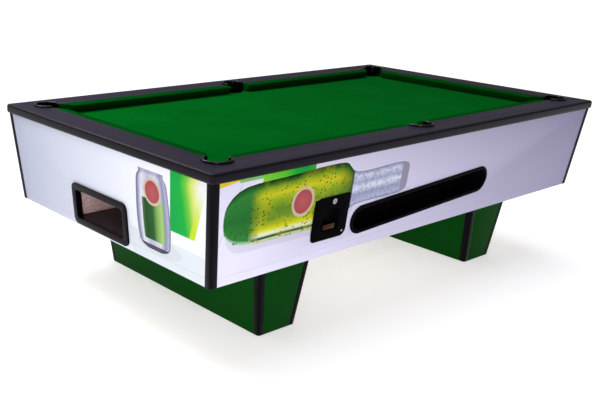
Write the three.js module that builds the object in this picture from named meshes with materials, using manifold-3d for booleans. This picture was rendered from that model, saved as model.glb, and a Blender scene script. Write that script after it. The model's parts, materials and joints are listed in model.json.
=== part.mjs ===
// Coin-operated pool table, millimetres, +Z up.
// The origin is on the floor under the middle of the table, and +X runs along its length.
// The ball tray and the coin door are on the -Y side, and the cue-ball return is at the -X end.
import * as THREE from 'three';
import { mergeVertices } from 'three/addons/utils/BufferGeometryUtils.js';
import Module from 'manifold-3d';

const wasm = await Module();
wasm.setup();

// Overall sizes.
const tableLength = 2310;
const tableWidth = 1320;
const railTop = 726;
const fit = 0.4; // gap between pieces that touch

// Rails and cushions.
const railWidth = 120;
const railDepth = 37;
const railEdgeRadius = 11;
const railCornerRadius = 12;
const cushionWidth = 45;
const cushionNoseDrop = 4; // the nose is this far below the rail top
const cushionNoseFace = 7;
const cushionUndercut = 18;
const jawGap = 6; // cushion ends to the pocket liners

// Pockets.
const cornerPocketInset = 124; // centre to both outer edges
const middlePocketInset = 110; // centre to the outer edge
const pocketRadius = 44; // inside of the liner
const linerWall = 6;
const linerRimWidth = 4; // the rim reaches this far over the rail
const linerRimHeight = 8;
const linerDrop = 40; // how far the liner hangs below the bed
const cornerMouthFrom = 28; // from the pocket centre to where the liner opens
const middleMouthFrom = 16;

// Bed.
const clothThickness = 1;
const slateThickness = 19;
const bearerWidth = 60;
const bearerHeight = 28;
const bearerFromMiddle = 500;

// Cabinet.
const railOverhang = 9;
const cabinetBottom = 326;
const sideTaper = 35; // each side comes in this far from top to bottom
const panelThickness = 18;
const floorThickness = 18;
const postSize = 29;
const postRadius = 11;
const postProud = 2;

// Pedestals.
const pedestalFromEnd = 362;
const pedestalLength = 278;
const pedestalTaperX = 44;
const pedestalFromSide = 149;
const pedestalTaperY = 31;
const pedestalBoard = 18;
const pedestalTrim = 29;
const pedestalTrimRadius = 11;

// Ball tray.
const trayLength = 854;
const trayHeight = 113;
const trayCentreX = -36;
const trayCentreZ = 453;
const trayRise = THREE.MathUtils.degToRad(2.8); // it climbs towards +X
const trayFlange = 10;
const trayProud = 3;
const trayDepth = 72;
const trayWall = 3;
const trayInletHeight = 57; // slot in the back wall that the balls roll in through

// Cue-ball return.
const returnLength = 361;
const returnHeight = 165;
const returnCentreY = 10;
const returnCentreZ = 418;
const returnBorder = 25;
const returnRadius = 25;
const returnProud = 7;
const returnSleeve = 6;
const returnDepth = 220;
const returnBoard = 9;

// Coin door, in its own frame: x along the side, y into the cabinet, z up the leaning face.
const doorCentreX = -577;
const doorCentreZ = 474.5;
const doorLength = 178;
const doorHeight = 164;
const doorPlate = 3.5;
const doorLargeRadius = 28;
const doorSmallRadius = 9;
const doorOverlap = 9; // door over the panel, away from the hinge
const doorTopOverlap = 5;
const hingeRadius = 3.4;
const hingePinRadius = 1.6;
const hingeLength = 110;
const hingeKnuckle = 28;
const hingeLeaf = 1.5;
const hingeLeafDepth = 15;
const hingeClearance = 0.4;

// Coin mechanism, in the coin door's frame.
const mechLength = 100;
const mechBottom = -60;
const mechTop = 45;
const mechDepth = 70;
const coinWellLength = 84;
const coinWellHeight = 80;
const coinWellDepth = 26;
const slideZ = -30;
const slideX = -10;
const slideLength = 44;
const slideHeight = 8;
const slideGripLength = 58;
const slideGripHeight = 20;
const slideGripDepth = 9;
const slideTravel = 25;
const tailLength = 16;
const slideClearance = 0.6;
const lockX = 5;
const lockZ = 63;
const lockRadius = 9;
const lockCollar = 11;
const lockCollarDepth = 2.5;
const lockClearance = 0.4;
const lockReach = 27;
const lockCamLength = 28;
const lockCamWidth = 12;
const lockCamThickness = 2.5;

// Ball runs under the bed.
const ballDiameter = 51;
const runWall = 3;
const runHeight = 36;
const runWidth = 62;
const gullyFall = 15;
const gullyLowBottom = 590;
const chuteFromEnd = 120; // centre of the cross chute to the table's end
const chuteFall = 16;
const chuteLowBottom = 536;
const separatorRadius = 29; // hole that the cue ball drops through
const troughFromFront = 151; // its axis to the front of the cabinet's top
const troughAxisZ = 486;
const troughEndX = 400;
const shaftRadius = 5;
const shaftClearance = 0.4;
const leverDepth = 6;
const leverWidth = 12;
const leverDrop = 44;
const leverGap = 4; // to the end of the coin slide's tail
const carrierBoard = 12;
const carrierWidth = 80;
const carrierEar = 1; // wood in front of the shaft, at the saddle
const troughTip = 0.9; // radians
const tippedClearance = 2;

// Cash box.
const cashBoxLength = 150;
const cashBoxWidth = 110;
const cashBoxHeight = 58;
const cashBoxWall = 2;

const roundSides = 32;
const halfLength = tableLength / 2;
const halfWidth = tableWidth / 2;
const bedTop = railTop - railDepth;
const cabinetHeight = bedTop - cabinetBottom;
const cabinetX = halfLength - railOverhang; // cabinet faces at the top
const cabinetY = halfWidth - railOverhang;
const slateTop = bedTop - clothThickness - fit;
const slateBottom = slateTop - slateThickness;
const bearerBottom = slateBottom - fit - bearerHeight;
const faceTilt = Math.atan2(sideTaper, cabinetHeight);
const troughAxisY = -cabinetY + troughFromFront;
const ends = { left: -1, right: 1 };
const sides = { front: -1, back: 1 };

const table = new THREE.Group();
table.name = 'pool_table';

const finishes = {
  railLaminate: new THREE.MeshStandardMaterial({ color: '#3d3846', roughness: 0.45 }),
  blackPlastic: new THREE.MeshStandardMaterial({ color: '#0e0d12', roughness: 0.25 }),
  cloth: new THREE.MeshStandardMaterial({ color: '#00701d', roughness: 0.95 }),
  slate: new THREE.MeshStandardMaterial({ color: '#4d5257', roughness: 0.8 }),
  printedPanel: new THREE.MeshStandardMaterial({ color: '#dedcf0', roughness: 0.4 }),
  greenLaminate: new THREE.MeshStandardMaterial({ color: '#0f3b17', roughness: 0.5 }),
  plywood: new THREE.MeshStandardMaterial({ color: '#b89a80', roughness: 0.8 }),
  softwood: new THREE.MeshStandardMaterial({ color: '#c9a673', roughness: 0.8 }),
  greyPlastic: new THREE.MeshStandardMaterial({ color: '#55585c', roughness: 0.5 }),
  blackSteel: new THREE.MeshStandardMaterial({ color: '#121215', roughness: 0.4, metalness: 0.6 }),
  zincSteel: new THREE.MeshStandardMaterial({ color: '#9aa0a6', roughness: 0.4, metalness: 1 }),
  brass: new THREE.MeshStandardMaterial({ color: '#9c6b3c', roughness: 0.35, metalness: 1 }),
  chrome: new THREE.MeshStandardMaterial({ color: '#d6d8dc', roughness: 0.15, metalness: 1 }),
};

// A node, in a group or straight on the table.
function addPiece(name, geometry, finish, parent = table) {
  const mesh = new THREE.Mesh(geometry, finish.clone());
  mesh.name = name;
  parent.add(mesh);
  return mesh;
}

// Closed solids for joining and cutting, and back again.
function solid(geometry) {
  const bare = geometry.clone();
  bare.deleteAttribute('normal');
  bare.deleteAttribute('uv');
  const merged = mergeVertices(bare, 1e-4);
  return new wasm.Manifold(new wasm.Mesh({
    numProp: 3,
    vertProperties: new Float32Array(merged.attributes.position.array),
    triVerts: new Uint32Array(merged.index.array),
  }));
}

function geometryOf(manifold) {
  const mesh = manifold.getMesh();
  const geometry = new THREE.BufferGeometry();
  geometry.setAttribute('position', new THREE.BufferAttribute(mesh.vertProperties, 3));
  geometry.setIndex(new THREE.BufferAttribute(mesh.triVerts, 1));
  return geometry;
}

function cut(geometry, ...tools) {
  return geometryOf(tools.reduce((left, tool) => left.subtract(solid(tool)), solid(geometry)));
}

function join(geometry, ...others) {
  return geometryOf(others.reduce((sum, other) => sum.add(solid(other)), solid(geometry)));
}

// Outlines.
function polygon(points) {
  return new THREE.Shape(points.map(([u, v]) => new THREE.Vector2(u, v)));
}

// A rectangle with its corner radii from the low-low corner, counter-clockwise.
function roundedRectangle(u0, u1, v0, v1, radii) {
  const [a, b, c, d] = Array.isArray(radii) ? radii : [radii, radii, radii, radii];
  const shape = new THREE.Shape();
  shape.moveTo(u0 + a, v0);
  shape.lineTo(u1 - b, v0);
  if (b > 0) shape.absarc(u1 - b, v0 + b, b, -Math.PI / 2, 0);
  shape.lineTo(u1, v1 - c);
  if (c > 0) shape.absarc(u1 - c, v1 - c, c, 0, Math.PI / 2);
  shape.lineTo(u0 + d, v1);
  if (d > 0) shape.absarc(u0 + d, v1 - d, d, Math.PI / 2, Math.PI);
  shape.lineTo(u0, v0 + a);
  if (a > 0) shape.absarc(u0 + a, v0 + a, a, Math.PI, 1.5 * Math.PI);
  return shape;
}

// A lying stadium: a rectangle with round ends, about its middle.
function stadium(length, height) {
  const r = height / 2;
  return roundedRectangle(-length / 2, length / 2, -r, r, r);
}

// An outline drawn in XY and raised from z0 to z1.
function slab(shape, z0, z1, curveSegments = 8) {
  const geometry = new THREE.ExtrudeGeometry(shape, { depth: z1 - z0, bevelEnabled: false, curveSegments });
  return geometry.translate(0, 0, z0);
}

// An outline drawn in XZ and carried along Y from y0 to y1.
function alongY(shape, y0, y1, curveSegments = 8) {
  return slab(shape, -y1, -y0, curveSegments).rotateX(Math.PI / 2);
}

// An outline drawn in YZ and carried along X from x0 to x1.
function alongX(shape, x0, x1, curveSegments = 8) {
  const turn = new THREE.Matrix4().set(0, 0, 1, 0, 1, 0, 0, 0, 0, 1, 0, 0, 0, 0, 0, 1);
  return slab(shape, x0, x1, curveSegments).applyMatrix4(turn);
}

function box(x0, x1, y0, y1, z0, z1) {
  const geometry = new THREE.BoxGeometry(x1 - x0, y1 - y0, z1 - z0);
  return geometry.translate((x0 + x1) / 2, (y0 + y1) / 2, (z0 + z1) / 2);
}

function upright(radius, x, y, z0, z1, sidesCount = roundSides) {
  const geometry = new THREE.CylinderGeometry(radius, radius, z1 - z0, sidesCount);
  return geometry.rotateX(Math.PI / 2).translate(x, y, (z0 + z1) / 2);
}

// How far the cabinet's faces have come in at a height.
function comeIn(z) {
  return sideTaper * (bedTop - z) / cabinetHeight;
}

// Moves each point inwards with its depth below the top, so that upright walls follow the taper.
function lean(geometry, towardsX, towardsY, amountAt = comeIn) {
  const position = geometry.attributes.position;
  for (let i = 0; i < position.count; i += 1) {
    const amount = amountAt(position.getZ(i));
    position.setX(i, position.getX(i) + towardsX * amount);
    position.setY(i, position.getY(i) + towardsY * amount);
  }
  return geometry;
}

// Pocket centres by name: the end it is at (-1, 0 or 1) and the side.
const pockets = [];
for (const [side, sy] of Object.entries(sides)) {
  for (const [end, sx] of Object.entries({ left: -1, middle: 0, right: 1 })) {
    const inset = sx === 0 ? middlePocketInset : cornerPocketInset;
    pockets.push({
      name: `${side}_${end}`,
      sx,
      sy,
      x: sx * (halfLength - cornerPocketInset),
      y: sy * (halfWidth - inset),
    });
  }
}
const linerRadius = pocketRadius + linerWall;

function pocketHoles(z0, z1) {
  return pockets.map(({ x, y }) => upright(linerRadius + fit, x, y, z0, z1));
}

// Rails: a bullnosed section cut to its mitres and round the pockets.
function railSection(width) {
  const r = railEdgeRadius;
  return roundedRectangle(-width, -width + railWidth, bedTop + fit, railTop, [r, 0, 0, r]);
}

function railOutline(half, width) {
  const gap = fit / 2 * Math.SQRT2;
  const corner = half - railCornerRadius;
  const shape = new THREE.Shape();
  shape.moveTo(-corner, -width);
  shape.lineTo(corner, -width);
  shape.absarc(corner, -width + railCornerRadius, railCornerRadius, -Math.PI / 2, -Math.PI / 4);
  shape.lineTo(half - railWidth - gap, -width + railWidth);
  shape.lineTo(-half + railWidth + gap, -width + railWidth);
  shape.absarc(-corner, -width + railCornerRadius, railCornerRadius, -0.75 * Math.PI, -Math.PI / 2);
  return shape;
}

function addRails() {
  const holes = pocketHoles(bedTop - railDepth, railTop + railDepth);
  const turns = { front: 0, right: 1, back: 2, left: 3 };
  for (const [name, quarter] of Object.entries(turns)) {
    const half = quarter % 2 === 0 ? halfLength : halfWidth;
    const width = quarter % 2 === 0 ? halfWidth : halfLength;
    const bar = solid(alongX(railSection(width), -half, half));
    const plan = solid(slab(railOutline(half - fit / 2, width), bedTop, railTop + fit));
    const rail = geometryOf(bar.intersect(plan)).rotateZ(quarter * Math.PI / 2);
    addPiece(`rail_${name}`, cut(rail, ...holes), finishes.railLaminate);
  }
}

// Cushions: a nosed section cut at the pocket jaws.
function cushionSection(back) {
  const top = railTop - fit;
  const nose = railTop - cushionNoseDrop;
  const foot = bedTop + fit;
  return polygon([
    [back, foot],
    [back + cushionWidth - cushionUndercut, foot],
    [back + cushionWidth, nose - cushionNoseFace],
    [back + cushionWidth, nose],
    [back + cushionWidth * 0.55, top],
    [back, top],
  ]);
}

// A cushion lying along +X on the side towards -Y, between two x values at the nose and at the back.
function cushion(noseFrom, noseTo, backFrom, backTo, back) {
  const bar = solid(alongX(cushionSection(back), Math.min(noseFrom, backFrom), Math.max(noseTo, backTo)));
  const plan = solid(slab(polygon([
    [backFrom, back - fit],
    [backTo, back - fit],
    [noseTo, back + cushionWidth + fit],
    [noseFrom, back + cushionWidth + fit],
  ]), bedTop, railTop));
  return geometryOf(bar.intersect(plan));
}

function addCushions() {
  const middleJaw = linerRadius + jawGap;
  const cornerJaw = cornerPocketInset + linerRadius + jawGap + cushionWidth;
  const longFrom = -halfLength + cornerJaw;
  for (const [side, sy] of Object.entries(sides)) {
    const back = -halfWidth + railWidth + fit;
    const left = cushion(longFrom, -middleJaw, longFrom - cushionWidth, -middleJaw, back);
    const right = cushion(middleJaw, -longFrom, middleJaw, -longFrom + cushionWidth, back);
    const [west, east] = sy < 0 ? [left, right] : [right.rotateZ(Math.PI), left.rotateZ(Math.PI)];
    addPiece(`cushion_${side}_left`, west, finishes.cloth);
    addPiece(`cushion_${side}_right`, east, finishes.cloth);
  }
  const endFrom = -halfWidth + cornerJaw;
  for (const [end, sx] of Object.entries(ends)) {
    const back = -halfLength + railWidth + fit;
    const piece = cushion(endFrom, -endFrom, endFrom - cushionWidth, -endFrom + cushionWidth, back);
    addPiece(`cushion_${end}`, piece.rotateZ(sx * Math.PI / 2), finishes.cloth);
  }
}

// A pocket liner: a ring with a raised rim, open towards the table above the bed.
function addPocketLiners() {
  const inner = pocketRadius;
  const outer = linerRadius;
  const rim = outer + linerRimWidth;
  const top = railTop + linerRimHeight;
  const section = [
    [inner, bedTop - linerDrop],
    [outer, bedTop - linerDrop],
    [outer, railTop + fit],
    [rim, railTop + fit],
    [rim, top - 4],
    [rim - 1.2, top - 1.2],
    [rim - 4, top],
    [inner + 4, top],
    [inner + 1.2, top - 1.2],
    [inner, top - 4],
    [inner, bedTop - linerDrop],
  ].map(([r, z]) => new THREE.Vector2(r, z));
  for (const { name, sx, sy, x, y } of pockets) {
    const ring = new THREE.LatheGeometry(section, roundSides).rotateX(Math.PI / 2);
    const mouthFrom = sx === 0 ? middleMouthFrom : cornerMouthFrom;
    const mouth = box(mouthFrom, 2 * rim, -rim, rim, bedTop - clothThickness, top + 1);
    const facing = Math.atan2(-sy, -sx);
    const liner = cut(ring, mouth.rotateZ(facing)).translate(x, y, 0);
    addPiece(`pocket_liner_${name}`, liner, finishes.blackPlastic);
  }
}

// Slate and cloth share one outline, inside the corner posts.
function addBed() {
  const reach = postSize - postProud + fit;
  const x = cabinetX - reach - comeIn(slateBottom);
  const y = cabinetY - reach - comeIn(slateBottom);
  const outline = polygon([[-x, -y], [x, -y], [x, y], [-x, y]]);
  const holes = pocketHoles(slateBottom - slateThickness, bedTop + slateThickness);
  addPiece('slate_bed', cut(slab(outline, slateBottom, slateTop), ...holes), finishes.slate);
  addPiece('bed_cloth', cut(slab(outline, slateTop + fit, bedTop), ...holes), finishes.cloth);
  const bearerY = cabinetY - panelThickness - comeIn(bearerBottom) - fit;
  for (const [end, sx] of Object.entries(ends)) {
    const from = sx * bearerFromMiddle - bearerWidth / 2;
    const bearer = box(from, from + bearerWidth, -bearerY, bearerY, bearerBottom, slateBottom - fit);
    addPiece(`slate_bearer_${end}`, bearer, finishes.softwood);
  }
}

// Corner posts: a rounded square that leans both ways.
function addCornerPosts() {
  for (const [side, sy] of Object.entries(sides)) {
    for (const [end, sx] of Object.entries(ends)) {
      const radii = [0, 0, postRadius, 0];
      const section = roundedRectangle(-postSize, 0, -postSize, 0, radii);
      const quarter = { '1,1': 0, '-1,1': 1, '-1,-1': 2, '1,-1': 3 }[`${sx},${sy}`];
      const post = slab(section, cabinetBottom, bedTop, 6).rotateZ(quarter * Math.PI / 2);
      post.translate(sx * (cabinetX + postProud), sy * (cabinetY + postProud), 0);
      addPiece(`corner_post_${side}_${end}`, lean(post, -sx, -sy), finishes.blackPlastic);
    }
  }
}

// The outline of a cabinet panel between its two posts.
function panelOutline(half) {
  const top = half + postProud - postSize - fit;
  const bottom = top - sideTaper;
  return polygon([[-bottom, cabinetBottom], [bottom, cabinetBottom], [top, bedTop], [-top, bedTop]]);
}

// The floor board reaches the panels and is notched round the corner posts.
function floorOutline() {
  const [x, y] = [cabinetX, cabinetY].map((half) => half - panelThickness - sideTaper - fit);
  const notch = postSize - postProud - panelThickness;
  const corner = (sx, sy) => [[sx * (x - notch), sy * y], [sx * (x - notch), sy * (y - notch)],
    [sx * x, sy * (y - notch)]];
  return polygon([...corner(1, 1).reverse(), ...corner(-1, 1), ...corner(-1, -1).reverse(), ...corner(1, -1)]);
}

const traySleeve = trayFlange + 1.5;
const trayHoleClearance = 2.5;
const doorHoleRight = doorLength / 2 - doorOverlap;
const doorHoleTop = doorHeight / 2 - doorTopOverlap;
const doorHoleBottom = -doorHeight / 2 + doorOverlap;
const doorHoleLeft = -doorLength / 2;

function addPanels() {
  const tray = stadium(trayLength - 2 * (traySleeve - trayHoleClearance),
    trayHeight - 2 * (traySleeve - trayHoleClearance));
  const trayHole = alongY(tray, -halfWidth, 0).rotateY(-trayRise).translate(trayCentreX, 0, trayCentreZ);
  const doorHole = box(doorCentreX + doorHoleLeft, doorCentreX + doorHoleRight, -halfWidth, 0,
    doorCentreZ + doorHoleBottom, doorCentreZ + doorHoleTop);
  for (const [side, sy] of Object.entries(sides)) {
    const y0 = sy < 0 ? -cabinetY : cabinetY - panelThickness;
    const board = alongY(panelOutline(cabinetX), y0, y0 + panelThickness);
    const panel = sy < 0 ? cut(board, trayHole, doorHole) : board;
    addPiece(`cabinet_panel_${side}`, lean(panel, 0, -sy), finishes.printedPanel);
  }
  const sleeve = returnBorder - returnSleeve - fit;
  const returnHole = alongX(roundedRectangle(
    returnCentreY - returnLength / 2 + sleeve, returnCentreY + returnLength / 2 - sleeve,
    returnCentreZ - returnHeight / 2 + sleeve, returnCentreZ + returnHeight / 2 - sleeve,
    returnRadius - sleeve + 6), -halfLength, 0);
  for (const [end, sx] of Object.entries(ends)) {
    const x0 = sx < 0 ? -cabinetX : cabinetX - panelThickness;
    const board = alongX(panelOutline(cabinetY), x0, x0 + panelThickness);
    const panel = sx < 0 ? cut(board, returnHole) : board;
    addPiece(`cabinet_panel_${end}`, lean(panel, -sx, 0), finishes.printedPanel);
  }
  addPiece('cabinet_floor', slab(floorOutline(), cabinetBottom, cabinetBottom + floorThickness), finishes.plywood);
}

// The tray: a flange on the panel, a sleeve through it, and a bowl with a ball inlet behind.
function addTray() {
  const sleeveLength = trayLength - 2 * traySleeve;
  const sleeveHeight = trayHeight - 2 * traySleeve;
  const flange = alongY(stadium(trayLength, trayHeight), -trayProud - fit, -fit, 12);
  const shell = alongY(stadium(sleeveLength, sleeveHeight), -fit - 1, trayDepth, 12);
  const insideLength = sleeveLength - 2 * trayWall;
  const insideHeight = sleeveHeight - 2 * trayWall;
  const inside = alongY(stadium(insideLength, insideHeight), -trayProud - 2, trayDepth - trayWall, 12);
  const inletHalf = insideLength / 2 - insideHeight / 2;
  const inletTop = insideHeight / 2;
  const inlet = box(-inletHalf, inletHalf, trayDepth - 2 * trayWall, trayDepth + 1,
    inletTop - trayInletHeight, inletTop);
  const tray = cut(join(flange, shell), inside, inlet);
  const group = new THREE.Group();
  group.position.set(trayCentreX, -cabinetY + comeIn(trayCentreZ), trayCentreZ);
  group.rotation.set(faceTilt, 0, 0);
  table.add(group);
  addPiece('ball_tray', tray.rotateY(-trayRise), finishes.blackPlastic, group);
}

// The cue-ball return: a moulded frame through the end panel and a box behind it.
function addReturn() {
  const frameAt = (inset, radius) => roundedRectangle(
    returnCentreY - returnLength / 2 + inset, returnCentreY + returnLength / 2 - inset,
    returnCentreZ - returnHeight / 2 + inset, returnCentreZ + returnHeight / 2 - inset, radius);
  const outside = -cabinetX - fit;
  const inner = returnRadius - returnBorder / 2;
  const flange = alongX(frameAt(0, returnRadius), outside - returnProud, outside);
  const sleeve = alongX(frameAt(returnBorder - returnSleeve, inner + returnSleeve), outside - 1,
    -cabinetX + panelThickness);
  const opening = alongX(frameAt(returnBorder, inner), outside - 2 * returnProud, -halfLength + railWidth);
  addPiece('cue_return_frame', lean(cut(join(flange, sleeve), opening), 1, 0), finishes.blackPlastic);

  const board = returnBoard;
  const x0 = -cabinetX + panelThickness + fit;
  const [y0, y1] = [returnCentreY - returnLength / 2, returnCentreY + returnLength / 2];
  const z0 = cabinetBottom + floorThickness + fit;
  const z1 = returnCentreZ + returnHeight / 2 - returnBorder + board;
  const floorTop = returnCentreZ - returnHeight / 2 + returnBorder;
  const cavity = box(x0 - 1, x0 + returnDepth - board, y0 + board, y1 - board, floorTop, z1 - board);
  const drop = upright(separatorRadius, 0, 0, z1 - 2 * board, z1 + 1);
  drop.translate(-halfLength + chuteFromEnd + comeIn(chuteLowBottom) - comeIn(z1), returnCentreY, 0);
  const shell = box(x0, x0 + returnDepth, y0, y1, z0, z1);
  addPiece('cue_return_box', lean(cut(shell, cavity, drop), 1, 0), finishes.plywood);
}

// A U-shaped run along X, from x0 to x1, whose floor climbs by rise.
function trough(x0, x1, width, height, rise) {
  const half = width / 2;
  const section = polygon([
    [-half, 0], [half, 0], [half, height], [half - runWall, height],
    [half - runWall, runWall], [-half + runWall, runWall], [-half + runWall, height], [-half, height],
  ]);
  const geometry = alongX(section, x0, x1);
  const position = geometry.attributes.position;
  for (let i = 0; i < position.count; i += 1) {
    position.setZ(i, position.getZ(i) + rise * (position.getX(i) - x0) / (x1 - x0));
  }
  return geometry;
}

const chuteX = -halfLength + chuteFromEnd + comeIn(chuteLowBottom);
const panelInsideY = cabinetY - panelThickness;

function addRuns() {
  const gullyEnd = cabinetX - panelThickness - comeIn(gullyLowBottom + gullyFall) - fit;
  const gullyStart = chuteX - runWidth / 2 + runWall;
  for (const [side, sy] of Object.entries(sides)) {
    const y = sy * (halfWidth - cornerPocketInset);
    const gully = trough(gullyStart, gullyEnd, runWidth, runHeight, gullyFall);
    const outlet = box(gullyStart - 1, gullyStart + runWidth - 2 * runWall, -runWidth / 2 + runWall,
      runWidth / 2 - runWall, -1, runWall + 1);
    const piece = cut(gully, outlet).translate(0, y, gullyLowBottom);
    addPiece(`gully_${side}`, piece, finishes.greyPlastic);
  }
  const chuteFront = -panelInsideY + comeIn(chuteLowBottom) + fit;
  const chuteBack = panelInsideY - comeIn(chuteLowBottom + chuteFall) - fit;
  const run = trough(chuteFront, chuteBack, runWidth, runHeight, chuteFall).rotateZ(Math.PI / 2);
  run.translate(chuteX, 0, chuteLowBottom);
  const separator = upright(separatorRadius - 2, chuteX, returnCentreY, chuteLowBottom - 1,
    chuteLowBottom + chuteFall + runWall);
  const spout = box(chuteX, chuteX + runWidth, troughAxisY - runWidth / 2 + runWall,
    troughAxisY + runWidth / 2 - runWall, chuteLowBottom + runWall + 1, chuteLowBottom + 2 * runHeight);
  addPiece('cross_chute', cut(run, separator, spout), finishes.greyPlastic);
}

// The tipping trough holds the balls until the coin slide's tail pushes its lever.
function addTippingTrough() {
  const troughStart = chuteX + runWidth / 2 + 2;
  const bottom = troughAxisZ + shaftRadius + fit;
  const run = trough(troughStart, troughEndX, runWidth, runHeight - 2, 0);
  addPiece('tipping_trough', run.translate(0, troughAxisY, bottom), finishes.greyPlastic);

  const leverX = doorCentreX + slideX;
  const from = leverX - 3 * leverWidth;
  const to = troughEndX + 2 * carrierBoard;
  const shaft = new THREE.CylinderGeometry(shaftRadius, shaftRadius, to - from, 24);
  shaft.rotateZ(Math.PI / 2).translate((from + to) / 2, troughAxisY, troughAxisZ);
  const lever = box(leverX - leverWidth / 2, leverX + leverWidth / 2, troughAxisY - leverDepth / 2,
    troughAxisY + leverDepth / 2, troughAxisZ - leverDrop, troughAxisZ);
  addPiece('trough_shaft', join(shaft, lever), finishes.zincSteel);

  const z0 = cabinetBottom + floorThickness + fit;
  const y0 = troughAxisY - carrierWidth / 2;
  const half = carrierWidth / 2;
  const ear = shaftRadius + carrierEar;
  // The front of a cheek stays under the trough's bottom when it is tipped.
  const clearOfTrough = shaftRadius + fit - tippedClearance;
  const under = (y) => (clearOfTrough + y * Math.sin(troughTip)) / Math.cos(troughTip);
  const cheekOutline = polygon([[-half, z0 - troughAxisZ], [half, z0 - troughAxisZ], [half, -half / 2],
    [2 * ear, 0], [-ear, under(-ear)], [-half, under(-half)]]);
  const cheek = (x) => alongX(cheekOutline, x, x + carrierBoard).translate(0, troughAxisY, troughAxisZ);
  const left = doorCentreX + cashBoxLength / 2 + carrierBoard;
  const right = troughEndX - 2 * carrierBoard;
  const base = box(left, right + carrierBoard, y0, y0 + carrierWidth, z0, z0 + carrierBoard);
  const bore = new THREE.CylinderGeometry(shaftRadius + shaftClearance, shaftRadius + shaftClearance,
    2 * tableLength, 24);
  bore.rotateZ(Math.PI / 2).translate(0, troughAxisY, troughAxisZ);
  const carrier = cut(join(base, cheek(left), cheek(right)), bore);
  addPiece('trough_carrier', carrier, finishes.plywood);
}

// The coin door and what is on it, in a frame that leans with the front panel.
function addCoinDoor() {
  const door = new THREE.Group();
  door.position.set(doorCentreX, -cabinetY + comeIn(doorCentreZ), doorCentreZ);
  door.rotation.set(faceTilt, 0, 0);
  table.add(door);

  const pinX = -doorLength / 2;
  const pinY = -fit - hingeRadius;
  const knuckle = (z0, z1) => upright(hingeRadius, pinX, pinY, z0, z1, 16);
  const half = hingeLength / 2;
  const middle = half - hingeKnuckle;
  const leaf = (z0, z1) => box(pinX + fit, pinX + fit + hingeLeaf, pinY, hingeLeafDepth, z0, z1);
  const pin = upright(hingePinRadius, pinX, pinY, -half, half, 16);
  const back = box(pinX + fit, pinX + fit + hingeLeaf, hingeRadius / 2, hingeLeafDepth, -half, half);
  const hinge = join(pin, knuckle(-half, -middle), knuckle(middle, half), leaf(-half, -middle),
    leaf(middle, half), back);
  addPiece('coin_door_hinge', hinge, finishes.blackSteel, door);

  const plateLeft = pinX + hingeRadius + 1;
  const radii = [doorSmallRadius, doorLargeRadius, doorSmallRadius, doorLargeRadius];
  const outline = roundedRectangle(plateLeft, doorLength / 2, -doorHeight / 2, doorHeight / 2, radii);
  const plate = alongY(outline, -fit - doorPlate, -fit);
  const clearBore = upright(hingePinRadius + hingeClearance, pinX, pinY, -half, half, 16);
  const web = box(pinX, plateLeft + 2, -fit - doorPlate, -fit - doorPlate / 3, -middle + fit, middle - fit);
  const wellLength = coinWellLength;
  const wellHole = alongY(roundedRectangle(-wellLength / 2, wellLength / 2, mechBottom + 12,
    mechBottom + 12 + coinWellHeight, 6), -doorPlate - 1, 1);
  const lockHole = new THREE.CylinderGeometry(lockRadius + lockClearance, lockRadius + lockClearance,
    4 * doorPlate, 24).translate(lockX, 0, lockZ);
  const leafOfDoor = cut(join(plate, web, knuckle(-middle + fit, middle - fit)), clearBore, wellHole, lockHole);
  addPiece('coin_door', leafOfDoor, finishes.blackSteel, door);

  const body = box(-mechLength / 2, mechLength / 2, 0, mechDepth, mechBottom, mechTop);
  const well = alongY(roundedRectangle(-wellLength / 2, wellLength / 2, mechBottom + 12,
    mechBottom + 12 + coinWellHeight, 6), -1, coinWellDepth);
  const tunnel = box(slideX - slideLength / 2 - slideClearance, slideX + slideLength / 2 + slideClearance,
    1, mechDepth + 1, slideZ - slideHeight / 2 - slideClearance, slideZ + slideHeight / 2 + slideClearance);
  addPiece('coin_mech_body', cut(body, well, tunnel), finishes.blackPlastic, door);

  const gripBack = coinWellDepth - slideTravel - 0.5;
  const grip = box(slideX - slideGripLength / 2, slideX + slideGripLength / 2, gripBack - slideGripDepth,
    gripBack, slideZ - slideGripHeight / 2, slideZ + slideGripHeight / 2);
  const tongue = box(slideX - slideLength / 2, slideX + slideLength / 2, gripBack - 1, mechDepth - slideTravel,
    slideZ - slideHeight / 2, slideZ + slideHeight / 2);
  const toLever = troughFromFront - comeIn(doorCentreZ) - leverDepth / 2 - leverGap;
  const tailEnd = (toLever + slideZ * Math.sin(faceTilt)) / Math.cos(faceTilt);
  const tail = box(slideX - tailLength / 2, slideX + tailLength / 2, mechDepth - slideTravel - 1, tailEnd,
    slideZ - slideHeight / 2, slideZ + slideHeight / 2);
  addPiece('coin_slide', join(grip, tongue, tail), finishes.brass, door);

  const turned = (radius, y0, y1) => new THREE.CylinderGeometry(radius, radius, y1 - y0, 24)
    .translate(lockX, (y0 + y1) / 2, lockZ);
  const face = -fit - doorPlate;
  const barrel = turned(lockRadius, face - lockCollarDepth, lockReach);
  const collar = turned(lockCollar, face - fit - lockCollarDepth, face - fit);
  const keyway = box(lockX - 1, lockX + 1, face - 2 * lockCollarDepth, face + 2, lockZ - 5, lockZ + 5);
  const cam = box(lockX - lockCamLength, lockX, lockReach - lockCamThickness, lockReach,
    lockZ - lockCamWidth / 2, lockZ + lockCamWidth / 2);
  addPiece('lock_barrel', cut(join(barrel, collar, cam), keyway), finishes.chrome, door);
}

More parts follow.
